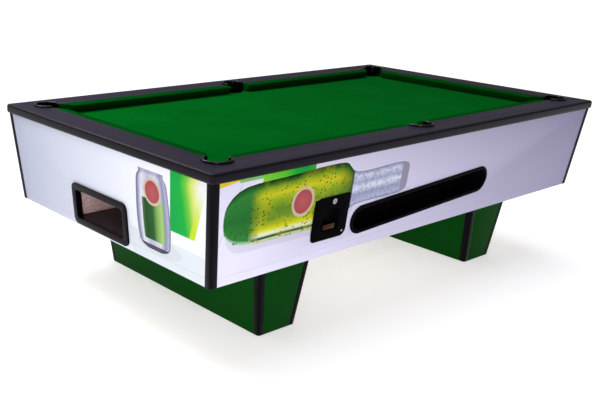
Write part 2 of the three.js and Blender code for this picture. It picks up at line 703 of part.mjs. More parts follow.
// An open box on the cabinet floor under the coin mechanism.
function addCashBox() {
  const x = doorCentreX;
  const y0 = -panelInsideY + sideTaper + postSize;
  const z0 = cabinetBottom + floorThickness + fit;
  const half = cashBoxLength / 2;
  const wall = cashBoxWall;
  const shell = box(x - half, x + half, y0, y0 + cashBoxWidth, z0, z0 + cashBoxHeight);
  const inside = box(x - half + wall, x + half - wall, y0 + wall, y0 + cashBoxWidth - wall,
    z0 + wall, z0 + cashBoxHeight + 1);
  addPiece('cash_box', cut(shell, inside), finishes.blackSteel);
}

// Pedestals: four leaning boards and four corner trims each.
function addPedestals() {
  const top = cabinetBottom - fit;
  const narrowing = (taper) => (z) => taper * (top - z) / top;
  const halfX = pedestalLength / 2;
  const halfY = halfWidth - pedestalFromSide;
  const trim = pedestalTrim;
  const trapezoid = (half, taper) => polygon([
    [-half + taper, 0], [half - taper, 0], [half, top], [-half, top],
  ]);
  for (const [end, direction] of Object.entries(ends)) {
    const group = new THREE.Group();
    group.position.x = direction * (halfLength - pedestalFromEnd - halfX);
    table.add(group);
    const faces = { left: -1, right: 1 };
    for (const [face, sx] of Object.entries(faces)) {
      const from = sx < 0 ? -halfX : halfX - pedestalBoard;
      const board = alongX(trapezoid(halfY - trim - fit, pedestalTaperY), from, from + pedestalBoard);
      const piece = lean(board, -sx, 0, narrowing(pedestalTaperX));
      addPiece(`pedestal_${end}_board_${face}`, piece, finishes.greenLaminate, group);
    }
    for (const [side, sy] of Object.entries(sides)) {
      const from = sy < 0 ? -halfY : halfY - pedestalBoard;
      const board = alongY(trapezoid(halfX - trim - fit, pedestalTaperX), from, from + pedestalBoard);
      const piece = lean(board, 0, -sy, narrowing(pedestalTaperY));
      addPiece(`pedestal_${end}_board_${side}`, piece, finishes.greenLaminate, group);
      for (const [face, sx] of Object.entries(faces)) {
        const section = roundedRectangle(-trim, 0, -trim, 0, [0, 0, pedestalTrimRadius, 0]);
        const quarter = { '1,1': 0, '-1,1': 1, '-1,-1': 2, '1,-1': 3 }[`${sx},${sy}`];
        const post = slab(section, 0, top, 4).rotateZ(quarter * Math.PI / 2);
        post.translate(sx * halfX, sy * halfY, 0);
        lean(post, -sx, 0, narrowing(pedestalTaperX));
        lean(post, 0, -sy, narrowing(pedestalTaperY));
        addPiece(`pedestal_${end}_trim_${side}_${face}`, post, finishes.blackPlastic, group);
      }
    }
  }
}

addRails();
addCushions();
addPocketLiners();
addBed();
addCornerPosts();
addPanels();
addTray();
addReturn();
addRuns();
addTippingTrough();
addCoinDoor();
addCashBox();
addPedestals();

export default table;
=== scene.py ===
"""The looks of a coin-operated pool table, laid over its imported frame."""
import json
import math

import bpy
from bpy.props import FloatProperty, FloatVectorProperty, PointerProperty
from mathutils import Matrix, Vector


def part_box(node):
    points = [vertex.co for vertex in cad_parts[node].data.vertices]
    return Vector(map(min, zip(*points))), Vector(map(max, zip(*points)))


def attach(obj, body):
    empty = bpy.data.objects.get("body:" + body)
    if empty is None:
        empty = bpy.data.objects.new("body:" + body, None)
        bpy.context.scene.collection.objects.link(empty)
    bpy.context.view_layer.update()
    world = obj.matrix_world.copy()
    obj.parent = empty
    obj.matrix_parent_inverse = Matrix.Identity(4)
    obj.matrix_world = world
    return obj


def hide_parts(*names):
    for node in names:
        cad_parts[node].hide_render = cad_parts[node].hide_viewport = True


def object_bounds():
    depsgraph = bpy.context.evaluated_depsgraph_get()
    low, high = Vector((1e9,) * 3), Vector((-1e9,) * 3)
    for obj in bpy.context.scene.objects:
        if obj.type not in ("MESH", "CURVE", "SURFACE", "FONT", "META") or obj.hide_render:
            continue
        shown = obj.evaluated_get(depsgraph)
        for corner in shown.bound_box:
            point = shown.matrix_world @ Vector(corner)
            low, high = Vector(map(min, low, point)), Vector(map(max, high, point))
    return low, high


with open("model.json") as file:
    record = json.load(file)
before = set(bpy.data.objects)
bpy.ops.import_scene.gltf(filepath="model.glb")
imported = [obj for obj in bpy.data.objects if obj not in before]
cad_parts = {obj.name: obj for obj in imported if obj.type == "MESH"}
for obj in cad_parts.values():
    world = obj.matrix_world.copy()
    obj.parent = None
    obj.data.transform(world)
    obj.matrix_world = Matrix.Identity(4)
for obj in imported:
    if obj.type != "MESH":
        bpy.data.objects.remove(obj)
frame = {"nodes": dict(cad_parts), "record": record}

bl_info = {
    "name": "Pool Table",
    "version": (1, 0, 0),
    "blender": (4, 5, 0),
    "location": "3D View > Sidebar > Pool Table",
    "description": "Makes the rails, cushions, cloth, pockets, cabinet, tray, coin door and pedestals",
    "category": "Object",
}

CAD_LOW, CAD_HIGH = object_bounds()
BODY_OF = {
    node: body
    for body, nodes in frame["record"]["behaviour"]["bodies"].items()
    for node in nodes
}
HALF_LENGTH, HALF_WIDTH = CAD_HIGH.x, CAD_HIGH.y
BED_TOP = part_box("bed_cloth")[1].z
RAIL_BOTTOM, RAIL_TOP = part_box("rail_front")[0].z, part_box("rail_front")[1].z
RAIL_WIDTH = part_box("rail_front")[1].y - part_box("rail_front")[0].y
CABINET_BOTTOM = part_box("cabinet_panel_front")[0].z
CABINET_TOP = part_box("cabinet_panel_front")[1].z
QUARTERS = {"front": 0, "right": 1, "back": 2, "left": 3}
OVERCUT = 0.02  # how far a cutter reaches past what it cuts
MERGE = 1e-5  # corners closer than this are one


def linear(hex_colour):
    """An sRGB hex colour as linear red, green, blue and alpha."""
    parts = [int(hex_colour[i:i + 2], 16) / 255 for i in (1, 3, 5)]
    return tuple(p / 12.92 if p <= 0.04045 else ((p + 0.055) / 1.055) ** 2.4 for p in parts) + (1.0,)


def length(name, description, default):
    return FloatProperty(name=name, description=description, default=default, unit="LENGTH")


def colour(name, description, default):
    return FloatVectorProperty(
        name=name, description=description, default=linear(default)[:3], subtype="COLOR", size=3
    )


class PoolTableSizes(bpy.types.PropertyGroup):
    """Sizes that the frame doesn't give."""

    gap: length("Gap", "Gap between pieces that touch", 0.0004)
    rail_edge: length("Rail edge", "Radius of the rails' rounded edges", 0.010)
    rail_corner: length("Rail corner", "Radius of the table's corners in plan", 0.012)
    panel: length("Panel", "Thickness of a cabinet panel", 0.018)
    cushion_drop: length("Nose drop", "How far a cushion's nose is below the rail top", 0.004)
    cushion_face: length("Nose face", "Height of a cushion's nose", 0.007)
    cushion_undercut: length("Undercut", "How far a cushion's foot is behind its nose", 0.018)
    pocket: length("Pocket", "Inside radius of a pocket liner", 0.044)
    liner_wall: length("Liner wall", "Thickness of a pocket liner", 0.006)
    liner_rim: length("Liner rim", "How far a liner's rim reaches over the rail", 0.004)
    liner_bead: length("Liner bead", "Rounding of a liner's rim", 0.0044)
    corner_mouth: length("Corner mouth", "Pocket centre to where a corner liner opens", 0.028)
    middle_mouth: length("Middle mouth", "Pocket centre to where a middle liner opens", 0.016)
    tray_length: length("Tray length", "Length of the ball tray over its flange", 0.854)
    tray_height: length("Tray height", "Height of the ball tray over its flange", 0.113)
    tray_flange: length("Tray flange", "Width of the ball tray's flange", 0.0115)
    tray_depth: length("Tray depth", "Depth of the ball tray behind the panel", 0.072)
    tray_wall: length("Tray wall", "Thickness of the moulded tray", 0.003)
    tray_inlet: length("Tray inlet", "Height of the slot that balls roll in through", 0.057)
    tray_rise: FloatProperty(
        name="Tray rise", description="How steeply the tray climbs",
        default=math.radians(2.8), unit="ROTATION",
    )
    soft_edge: length("Soft edge", "Radius of the small edges on boards and trims", 0.0012)


class PoolTableColours(bpy.types.PropertyGroup):
    """Colours of the finishes."""

    rail: colour("Rails", "Charcoal laminate", "#292333")
    cloth: colour("Cloth", "Green worsted cloth", "#005c18")
    black: colour("Black plastic", "Moulded and extruded trims", "#08070c")
    print_base: colour("Print", "Ground of the printed panels", "#e6e1f9")
    leg: colour("Pedestals", "Dark green laminate", "#08430f")


# ---------------------------------------------------------------- modelling

def activate(piece):
    """Selects one piece alone, in object mode."""
    if bpy.context.mode != "OBJECT":
        bpy.ops.object.mode_set(mode="OBJECT")
    bpy.ops.object.select_all(action="DESELECT")
    piece.select_set(True)
    bpy.context.view_layer.objects.active = piece


def added(name):
    """Names the primitive that was just added."""
    piece = bpy.context.object
    piece.name = name
    piece.data.name = name
    return piece


def select(piece, kind, test):
    """Goes into edit mode with only the vertices, edges or polygons that pass a test selected."""
    activate(piece)
    modes = {"vertices": "VERT", "edges": "EDGE", "polygons": "FACE"}
    bpy.ops.object.mode_set(mode="EDIT")
    bpy.ops.mesh.select_mode(type=modes[kind])
    bpy.ops.mesh.select_all(action="DESELECT")
    bpy.ops.object.mode_set(mode="OBJECT")
    for item in getattr(piece.data, kind):
        item.select = test(item)
    bpy.ops.object.mode_set(mode="EDIT")


def ends(piece, edge):
    return [piece.data.vertices[i].co for i in edge.vertices]


def near(a, b):
    return abs(a - b) < MERGE


def round_edges(piece, wanted, width, segments):
    """Rounds the edges whose two ends pass a test together."""
    select(piece, "edges", lambda edge: wanted(*ends(piece, edge)))
    bpy.ops.mesh.bevel(offset=width, segments=segments, profile=0.5, affect="EDGES")
    bpy.ops.object.mode_set(mode="OBJECT")


def select_whole(piece):
    """Goes into edit mode with all of a piece selected."""
    select(piece, "vertices", lambda vertex: True)
    bpy.ops.mesh.select_all(action="SELECT")


def outlined(name, points, push=None, fill="NGON"):
    """A face with these corners, pushed out into a solid."""
    bpy.ops.object.select_all(action="DESELECT")
    bpy.ops.mesh.primitive_circle_add(vertices=len(points), fill_type=fill, location=(0, 0, 0))
    piece = added(name)
    for vertex, point in zip(piece.data.vertices, points):
        vertex.co = point
    if push is not None:
        bpy.ops.object.mode_set(mode="EDIT")
        bpy.ops.mesh.select_all(action="SELECT")
        bpy.ops.mesh.extrude_region_move(TRANSFORM_OT_translate={"value": push})
        bpy.ops.mesh.select_all(action="SELECT")
        bpy.ops.mesh.normals_make_consistent(inside=False)
        bpy.ops.object.mode_set(mode="OBJECT")
    return piece


def arc(centre_u, centre_v, radius, start, stop, steps):
    """Points on an arc, from one angle in degrees to another."""
    angles = [math.radians(start + (stop - start) * i / steps) for i in range(steps + 1)]
    return [(centre_u + radius * math.cos(a), centre_v + radius * math.sin(a)) for a in angles]


def apply_modifier(piece, kind, **settings):
    activate(piece)
    modifier = piece.modifiers.new(kind.title(), kind)
    for key, value in settings.items():
        setattr(modifier, key, value)
    bpy.ops.object.modifier_apply(modifier=modifier.name)


def cut(piece, cutter):
    """Takes the cutter's shape out of a piece."""
    apply_modifier(piece, "BOOLEAN", object=cutter, operation="DIFFERENCE", solver="EXACT")
    bpy.data.objects.remove(cutter)


def block(name, low, high):
    """A box between two corners, to cut or shape another piece with."""
    low, high = Vector(low), Vector(high)
    bpy.ops.object.select_all(action="DESELECT")
    bpy.ops.mesh.primitive_cube_add(size=1, location=(low + high) / 2)
    piece = added(name)
    piece.scale = high - low
    bpy.ops.object.transform_apply()
    return piece


def place(piece, matrix):
    """Moves a piece and puts its place in its mesh."""
    activate(piece)
    piece.matrix_world = matrix
    bpy.ops.object.transform_apply()


def soften(piece, width, segments=3, angle=40):
    """Rounds the sharp edges and smooths the rest."""
    if width:
        apply_modifier(
            piece, "BEVEL", width=width, segments=segments, limit_method="ANGLE",
            angle_limit=math.radians(angle), harden_normals=False, use_clamp_overlap=True,
        )
    activate(piece)
    bpy.ops.object.shade_smooth_by_angle(angle=math.radians(35))


def put_on(piece, material, *nodes):
    """Gives a piece its material, and has it ride on its CAD nodes' body in their place."""
    piece.data.materials.clear()
    piece.data.materials.append(material)
    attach(piece, BODY_OF[nodes[0]])
    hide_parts(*nodes)


def refined(node, material, width, segments=3):
    """A copy of a CAD node with its triangles joined into whole faces and its edges rounded."""
    mesh = frame["nodes"][node].data.copy()
    piece = bpy.data.objects.new(f"finished_{node}", mesh)
    bpy.context.collection.objects.link(piece)
    mesh.name = piece.name
    select_whole(piece)
    bpy.ops.mesh.remove_doubles(threshold=MERGE)
    bpy.ops.mesh.dissolve_limited(angle_limit=math.radians(1))
    bpy.ops.object.mode_set(mode="OBJECT")
    soften(piece, width, segments)
    put_on(piece, material, node)
    return piece


def recolour(node, material):
    """Gives a CAD node that stays in view its material."""
    mesh = frame["nodes"][node].data
    mesh.materials.clear()
    mesh.materials.append(material)


# ---------------------------------------------------------------- materials

def add(tree, kind, inputs=None, stops=None, points=None, **settings):
    """Adds a node with its settings, its ramp or curve, and its values and links."""
    node = tree.nodes.new(kind)
    for key, value in settings.items():
        setattr(node, key, value)
    if stops:
        ramp = node.color_ramp
        while len(ramp.elements) < len(stops):
            ramp.elements.new(1.0)
        for element, (position, hex_colour) in zip(ramp.elements, stops):
            element.position = position
            element.color = linear(hex_colour)
    if points:
        curve = node.mapping.curves[0]
        while len(curve.points) < len(points):
            curve.points.new(0.5, 0.5)
        for point, place_on_curve in zip(curve.points, points):
            point.location = place_on_curve
        node.mapping.update()
    for key, value in (inputs or {}).items():
        if isinstance(key, int):
            socket = node.inputs[key]
        else:
            socket = next(s for s in node.inputs if s.enabled and s.name == key)
        if isinstance(value, bpy.types.Node):
            value = next(s for s in value.outputs if s.enabled)
        if isinstance(value, bpy.types.NodeSocket):
            tree.links.new(value, socket)
        else:
            socket.default_value = value
    return node


def join(tree, node, socket):
    """Links the output of a node that is in use to a socket."""
    tree.links.new(next(s for s in node.outputs if s.enabled), socket)


def new_material(name, **values):
    """A material with one principled shader, and its tree, shader and object coordinates."""
    material = bpy.data.materials.new(name)
    material.use_nodes = True
    tree = material.node_tree
    tree.nodes.clear()
    shader = add(tree, "ShaderNodeBsdfPrincipled", {k.replace("_", " "): v for k, v in values.items()})
    add(tree, "ShaderNodeOutputMaterial", {"Surface": shader})
    where = add(tree, "ShaderNodeTexCoord").outputs["Object"]
    return material, tree, shader, where


def grain(tree, shader, where, size, strength, depth):
    """A fine bump whose grains are size metres across."""
    noise = add(tree, "ShaderNodeTexNoise", {"Vector": where, "Scale": 1 / size, "Detail": 3.0})
    bump = add(tree, "ShaderNodeBump", {"Height": noise, "Strength": strength, "Distance": depth})
    join(tree, bump, shader.inputs["Normal"])
    return noise


def mottled(tree, shader, factor, dark, light, low=0.3, high=0.7):
    """Colour that wanders between two shades with a pattern."""
    ramp = add(tree, "ShaderNodeValToRGB", {"Fac": factor})
    ramp.color_ramp.elements[0].position = low
    ramp.color_ramp.elements[1].position = high
    ramp.color_ramp.elements[0].color = dark
    ramp.color_ramp.elements[1].color = light
    join(tree, ramp, shader.inputs["Base Color"])


def shades(base, spread):
    """Two shades of a linear colour, darker and lighter by a share."""
    dark = tuple(c * (1 - spread) for c in base) + (1.0,)
    light = tuple(min(1.0, c * (1 + spread)) for c in base) + (1.0,)
    return dark, light


def charcoal_laminate():
    """High-pressure laminate with a fine pebble that breaks its shine; faces that don't face up get
    painted shade.
    """
    material, tree, shader, where = new_material(
        "charcoal_laminate", Roughness=0.42, IOR=1.5, Specular_IOR_Level=0.1
    )
    # The real pebble is about 0.4 mm; it is drawn at 1.6 mm so that it shows.
    noise = grain(tree, shader, where, 0.0016, 0.25, 0.0003)
    mottled(tree, shader, noise, *shades(bpy.context.scene.pool_colours.rail, 0.12))
    top = shader.inputs["Base Color"].links[0].from_socket
    # Painted shade: as a face turns from up towards the side or underside, its colour runs to a near
    # black.
    facing = next(n for n in tree.nodes if n.type == "TEX_COORD").outputs["Normal"]
    upward = add(tree, "ShaderNodeSeparateXYZ", {0: facing}).outputs[2]
    flat = add(tree, "ShaderNodeMapRange", {"Value": upward, "From Min": 0.55, "From Max": 0.95})
    join(tree, painted(tree, linear("#0f0b13"), top, flat), shader.inputs["Base Color"])
    return material


def worsted_cloth(name, share):
    """Napped worsted wool: matt, with a soft sheen, and faint streaks where it was brushed."""
    material, tree, shader, where = new_material(
        name, Roughness=1.0, IOR=1.4, Specular_IOR_Level=0.0, Sheen_Weight=0.004, Sheen_Roughness=0.5
    )
    # Threads are 0.5 mm apart and are drawn at 2 mm so that they show.
    along = add(tree, "ShaderNodeMapping", {"Vector": where, "Scale": (60.0, 500.0, 500.0)})
    fibres = add(tree, "ShaderNodeTexNoise", {"Vector": along, "Scale": 1.0, "Detail": 4.0})
    brushed = add(tree, "ShaderNodeTexNoise", {"Vector": where, "Scale": 3.0, "Detail": 5.0})
    nap = add(tree, "ShaderNodeMix", {"Factor": 0.45, "A": fibres, "B": brushed}, data_type="FLOAT")
    # share scales the wool's colour; the cushions' 0.6 is painted shade.
    wool = [part * share for part in bpy.context.scene.pool_colours.cloth]
    mottled(tree, shader, nap, *shades(wool, 0.16), 0.35, 0.65)
    bump = add(tree, "ShaderNodeBump", {"Height": fibres, "Strength": 0.35, "Distance": 0.0006})
    join(tree, bump, shader.inputs["Normal"])
    return material


def black_plastic(name, roughness, orange_peel, shine):
    """Black polystyrene, glossy from its mould, with an orange peel that wobbles its highlights."""
    material, tree, shader, where = new_material(
        name, Roughness=roughness, IOR=1.5, Specular_IOR_Level=shine
    )
    noise = grain(tree, shader, where, 0.008, orange_peel, 0.0004)
    mottled(tree, shader, noise, *shades(bpy.context.scene.pool_colours.black, 0.25))
    return material


def green_laminate():
    """Dark green laminate over board, satin, with a faint stipple."""
    material, tree, shader, where = new_material(
        "green_laminate", Roughness=0.5, IOR=1.5, Specular_IOR_Level=0.015
    )
    noise = grain(tree, shader, where, 0.003, 0.2, 0.0003)
    mottled(tree, shader, noise, *shades(bpy.context.scene.pool_colours.leg, 0.15))
    return material


def timber(name, pale, dark, ring, along=(1.0, 12.0, 12.0), roughness=0.7):
    """Sawn or peeled timber: bands of early and late wood a ring apart, and fine pores."""
    material, tree, shader, where = new_material(name, Roughness=roughness, IOR=1.45)
    stretched = add(tree, "ShaderNodeMapping", {"Vector": where, "Scale": along})
    bands = add(
        tree, "ShaderNodeTexWave",
        {"Vector": stretched, "Scale": 0.03 / ring, "Distortion": 9.0, "Detail": 3.0, "Detail Scale": 1.5},
        bands_direction="Y",
    )
    pores = add(tree, "ShaderNodeTexNoise", {"Vector": stretched, "Scale": 40.0, "Detail": 6.0})
    figure = add(tree, "ShaderNodeMix", {"Factor": 0.5, "A": bands, "B": pores}, data_type="FLOAT")
    mottled(tree, shader, figure, linear(dark), linear(pale), 0.2, 0.8)
    bump = add(tree, "ShaderNodeBump", {"Height": pores, "Strength": 0.2, "Distance": 0.0005})
    join(tree, bump, shader.inputs["Normal"])
    return material


def speckled(name, dark, light, size, strength, **values):
    """A plain finish with a grain of its own: stone, cast metal, powder coat or sheet plastic."""
    material, tree, shader, where = new_material(name, **values)
    noise = grain(tree, shader, where, size, strength, size / 6)
    mottled(tree, shader, noise, linear(dark), linear(light))
    return material


def between(tree, value, low, high):
    """One where a value lies between two others, and nought elsewhere."""
    over = add(tree, "ShaderNodeMath", {0: value, 1: low}, operation="GREATER_THAN")
    under = add(tree, "ShaderNodeMath", {0: value, 1: high}, operation="LESS_THAN")
    return add(tree, "ShaderNodeMath", {0: over, 1: under}, operation="MULTIPLY")


def painted(tree, under, ink, *masks):
    """Lays ink where every mask holds. A mask is a share, or a value with its two limits."""
    ink = linear(ink) if isinstance(ink, str) else ink
    shares = [between(tree, *mask) if isinstance(mask, tuple) else mask for mask in masks]
    share = shares[0]
    for other in shares[1:]:
        share = add(tree, "ShaderNodeMath", {0: share, 1: other}, operation="MULTIPLY")
    return add(tree, "ShaderNodeMix", {"Factor": share, "A": under, "B": ink}, data_type="RGBA")


def vessel(tree, where, base, turn, tall, radius, outline, lying):
    """A turned vessel drawn flat: whether a point is inside, and how far along and across it is."""
    local = add(
        tree, "ShaderNodeMapping",
        {"Vector": where, "Location": base, "Rotation": turn, "Scale": (1, 1, 1)},
        vector_type="TEXTURE",
    )
    axes = add(tree, "ShaderNodeSeparateXYZ", {0: local})
    x, y, z = axes.outputs
    long_axis, cross_axis = (x, z) if lying else (z, y)
    along = add(tree, "ShaderNodeMath", {0: long_axis, 1: tall}, operation="DIVIDE")
    width = add(tree, "ShaderNodeFloatCurve", {"Value": along}, points=outline)
    half = add(tree, "ShaderNodeMath", {0: width, 1: radius}, operation="MULTIPLY")
    across = add(tree, "ShaderNodeMath", {0: cross_axis, 1: half}, operation="DIVIDE")
    lengthways, sideways = between(tree, along, 0.0, 1.0), between(tree, across, -1.0, 1.0)
    inside = add(tree, "ShaderNodeMath", {0: lengthways, 1: sideways}, operation="MULTIPLY")
    return inside, along, across


def past_line(tree, across, up, first, second):
    """How far a point is beyond a leaning line through two points, measured across."""
    lean = (second[0] - first[0]) / (second[1] - first[1])
    shift = lean * first[1] - first[0]
    offset = add(tree, "ShaderNodeMath", {0: up, 1: -lean, 2: shift}, operation="MULTIPLY_ADD")
    return add(tree, "ShaderNodeMath", {0: across, 1: offset}, operation="ADD")


def patch(tree, across, up, near_line, far_line, low, high):
    """One inside a block with leaning sides, and how far across it a point is."""
    start = past_line(tree, across, up, *near_line)
    width = far_line[0][0] - near_line[0][0]
    stop = past_line(tree, across, up, *far_line)
    mask = between(tree, up, low, high)
    for edge in (between(tree, start, 0.0, 9.0), between(tree, stop, -9.0, 0.0)):
        mask = add(tree, "ShaderNodeMath", {0: mask, 1: edge}, operation="MULTIPLY")
    return mask, add(tree, "ShaderNodeMath", {0: start, 1: width}, operation="DIVIDE")


def shaded_across(tree, across, stops):
    """A ramp over a vessel's width, from its low or near edge to the other."""
    spread = add(tree, "ShaderNodeMapRange", {"Value": across, "From Min": -1.0, "From Max": 1.0})
    return add(tree, "ShaderNodeValToRGB", {"Fac": spread}, stops=stops)


def printed_laminate(side):
    """Pale laminate printed with plain coloured shapes and no words, under a satin film."""
    material, tree, shader, where = new_material(
        f"printed_laminate_{side}", Roughness=0.5, IOR=1.5, Specular_IOR_Level=0.08
    )
    x, y, z = add(tree, "ShaderNodeSeparateXYZ", {0: where}).outputs
    ground = linear("#eef1fc")[:3] if side == "left" else bpy.context.scene.pool_colours.print_base
    cloudy = add(tree, "ShaderNodeTexNoise", {"Vector": where, "Scale": 2.5, "Detail": 3.0})
    picture = add(tree, "ShaderNodeValToRGB", {"Fac": cloudy})
    for element, shade in zip(picture.color_ramp.elements, shades(ground, 0.02)):
        element.color = shade

    def badge(across_panel, centre, radius):
        """A plain round badge: a tan rim round a dull red middle, with nothing written on it."""
        flat = add(tree, "ShaderNodeCombineXYZ", {0: across_panel, 2: z})
        away = add(tree, "ShaderNodeVectorMath", {0: flat, 1: centre}, operation="DISTANCE")
        share = add(tree, "ShaderNodeMath", {0: away, 1: radius}, operation="DIVIDE")
        rings = add(tree, "ShaderNodeValToRGB", {"Fac": share}, stops=[
            (0.0, "#b4585c"), (0.78, "#a8474e"), (0.83, "#c4ae92"), (1.0, "#cfc0a8"),
        ])
        return painted(tree, picture, rings, (share, -1.0, 1.0))

    # Painted shade: the ground darkens from near white by the near left corner to a cool lilac, as the
    # light falls off away from that corner.
    if side == "left":
        lengthways, start, stop, falloff_shade = y, -0.3, 0.65, "#acb0c6"
    else:
        lengthways, start, stop, falloff_shade = x, -0.9, 1.1, "#a19cbd"
    painted_falloff = add(tree, "ShaderNodeMapRange", {"Value": lengthways, "From Min": start, "From Max": stop})
    picture = painted(tree, picture, falloff_shade, painted_falloff)
    # Crumpled foil and wet metal: uneven patches about 12 mm across.
    creases = add(tree, "ShaderNodeTexNoise", {"Vector": where, "Scale": 1 / 0.012, "Detail": 4.0})
    crumpled = add(tree, "ShaderNodeMapRange", {"Value": creases, "From Min": 0.48, "From Max": 0.60})
    if side == "front":
        # Blocks of colour: points on the near side and the far side, the lower edge, share and ink.
        blocks = [
            (((-0.930, 0.60), (-0.933, 0.69)), ((-0.690, 0.60), (-0.690, 0.69)), 0.60, 1.0, [
                (0.0, "#7ccb3c"), (0.40, "#5cc22c"), (0.62, "#18a83c"), (0.84, "#10a03c"),
                (1.0, "#3aa83a"),
            ]),
            (((-1.150, 0.60), (-1.150, 0.69)), ((-1.115, 0.673), (-1.000, 0.689)), 0.60, 1.0, "#e3c93c"),
            (((-1.035, 0.60), (-1.035, 0.69)), ((-0.933, 0.60), (-0.933, 0.69)), 0.678, 1.0, "#7fc06a"),
            (((-1.096, 0.478), (-1.018, 0.686)), ((-1.093, 0.478), (-1.015, 0.686)), 0.45, 0.5, "#9a7f80"),
        ]
        for near_line, far_line, low, share, ink in blocks:
            mask, over = patch(tree, x, z, near_line, far_line, low, CABINET_TOP)
            if isinstance(ink, list):
                ink = add(tree, "ShaderNodeValToRGB", {"Fac": over}, stops=ink)
            picture = painted(tree, picture, ink, mask, share)
        outline = [
            (0.0, 0.10), (0.006, 0.36), (0.02, 0.56), (0.045, 0.74), (0.08, 0.87), (0.12, 0.93),
            (0.30, 0.96), (0.55, 1.0), (0.595, 0.97), (0.63, 0.80), (0.66, 0.62), (0.70, 0.55),
            (0.95, 0.54), (0.98, 0.49), (1.0, 0.30),
        ]
        shadow_outline = outline[:8] + [(0.80, 0.96), (1.0, 0.2)]
        turn = (0.0, math.radians(-0.9), 0.0)
        under, _, _ = vessel(
            tree, where, (-1.075, 0.0, 0.533), turn, 0.62, 0.112, shadow_outline, True
        )
        picture = painted(tree, picture, "#aeb2bf", under, 0.35)
        bottle, along, across = vessel(
            tree, where, (-1.086, 0.0, 0.554), turn, 0.922, 0.113, outline, True
        )
        glass = shaded_across(tree, across, [
            (0.0, "#b9c79a"), (0.04, "#c9d2a4"), (0.055, "#143d10"), (0.08, "#1d5a1e"),
            (0.105, "#dfe9cf"), (0.145, "#e6ebb0"), (0.19, "#dcd81a"), (0.26, "#a9b81c"),
            (0.36, "#6f9220"), (0.50, "#5c861f"), (0.64, "#86a41c"), (0.76, "#c6c41e"),
            (0.85, "#8fa81e"), (0.93, "#2f6a1c"), (0.975, "#0c2e0c"), (1.0, "#0a240a"),
        ])
        cloud = add(tree, "ShaderNodeTexNoise", {"Vector": where, "Scale": 9.0, "Detail": 2.0})
        light_through, wet, above_base, shoulder = (
            add(tree, "ShaderNodeMapRange", {"Value": value, "From Min": start, "From Max": stop})
            for value, start, stop in (
                (cloud, 0.45, 0.62), (cloud, 0.40, 0.55), (along, 0.12, 0.18), (along, 0.56, 0.66),
            )
        )
        glass = painted(tree, glass, "#d6cc1a", light_through, 0.3)
        base_shade = shaded_across(tree, across, [
            (0.0, "#d5e2d8"), (0.06, "#8fb79a"), (0.10, "#2f7f35"), (0.45, "#1f6a2a"),
            (0.85, "#2f7f35"), (1.0, "#0f3f18"),
        ])
        body = painted(tree, base_shade, glass, above_base)
        body = painted(tree, body, "#24560f", shoulder, 0.85)
        # Beads of water about 14 mm apart, dark because the glass bends the light away.
        beads = add(tree, "ShaderNodeTexVoronoi", {"Vector": where, "Scale": 1 / 0.014})
        body = painted(tree, body, "#1f4a0e", (beads.outputs["Distance"], -1.0, 0.27), wet, 0.8)
        foil = shaded_across(tree, across, [
            (0.0, "#8789ae"), (0.10, "#b4b8d6"), (0.30, "#979dc0"), (0.50, "#dfe2f4"),
            (0.66, "#a6accd"), (0.86, "#d3d7ec"), (1.0, "#7d81a6"),
        ])
        foil = painted(tree, foil, "#77799a", crumpled, 0.45)
        body = painted(tree, body, foil, (along, 0.655, 1.0))
        body = painted(tree, body, "#9590a6", (along, 0.955, 1.0))
        body = painted(tree, body, "#3d4a3a", (along, 0.646, 0.658), 0.8)
        picture = painted(tree, picture, body, bottle)
        picture = badge(x, (-0.730, 0.0, 0.562), 0.054)
    if side == "left":
        far_side = ((-0.547, 0.475), (-0.630, 0.690))
        near_side = ((-0.418, 0.475), (-0.439, 0.690))
        band_side = ((-0.519, 0.475), (-0.602, 0.690))
        swatch, over = patch(tree, y, z, far_side, near_side, 0.475, CABINET_TOP)
        height = add(tree, "ShaderNodeMapRange", {"Value": z, "From Min": 0.475, "From Max": 0.66})
        pale = add(tree, "ShaderNodeMath", {0: over, 1: -0.75, 2: 0.62}, operation="MULTIPLY_ADD")
        pale = add(tree, "ShaderNodeMath", {0: height, 1: 0.55, 2: pale}, operation="MULTIPLY_ADD")
        greens = add(tree, "ShaderNodeValToRGB", {"Fac": pale}, stops=[
            (0.0, "#04a544"), (0.38, "#16ab40"), (0.56, "#6cc43c"), (0.72, "#cfdc6a"),
            (0.88, "#e6e8b4"), (1.0, "#ecebf0"),
        ])
        picture = painted(tree, picture, greens, swatch)
        lime, _ = patch(tree, y, z, far_side, band_side, 0.475, CABINET_TOP)
        fade = add(tree, "ShaderNodeMath", {0: 1.0, 1: height}, operation="SUBTRACT")
        picture = painted(tree, picture, "#c3de1e", lime, fade)
        outline = [
            (0.0, 0.40), (0.02, 0.66), (0.06, 0.90), (0.11, 1.0), (0.82, 1.0), (0.90, 0.94),
            (0.95, 0.80), (0.97, 0.78), (1.0, 0.81),
        ]
        upright = (0.0, 0.0, 0.0)
        shadow_outline = [(0.0, 0.3), (0.5, 1.0), (1.0, 0.6)]
        shade, _, _ = vessel(
            tree, where, (0.0, -0.352, 0.360), upright, 0.06, 0.12, shadow_outline, False
        )
        picture = painted(tree, picture, "#b4b6c4", shade, 0.35)
        can, along, across = vessel(
            tree, where, (0.0, -0.327, 0.373), upright, 0.288, 0.0875, outline, False
        )
        metal = shaded_across(tree, across, [
            (0.0, "#6a6888"), (0.06, "#b4b3cc"), (0.15, "#8c8aaa"), (0.30, "#d6d5e8"),
            (0.62, "#b9b8d0"), (0.84, "#dedeee"), (0.94, "#908eac"), (1.0, "#5c5a78"),
        ])
        green = shaded_across(tree, across, [
            (0.17, "#6cb41e"), (0.23, "#a6c878"), (0.38, "#78a552"), (0.50, "#215a22"),
            (0.72, "#14441a"), (0.80, "#3a7634"),
        ])
        metal = painted(tree, metal, "#8583a0", crumpled, 0.22)
        metal = painted(tree, metal, green, (along, 0.125, 0.642), (across, -0.64, 0.62))
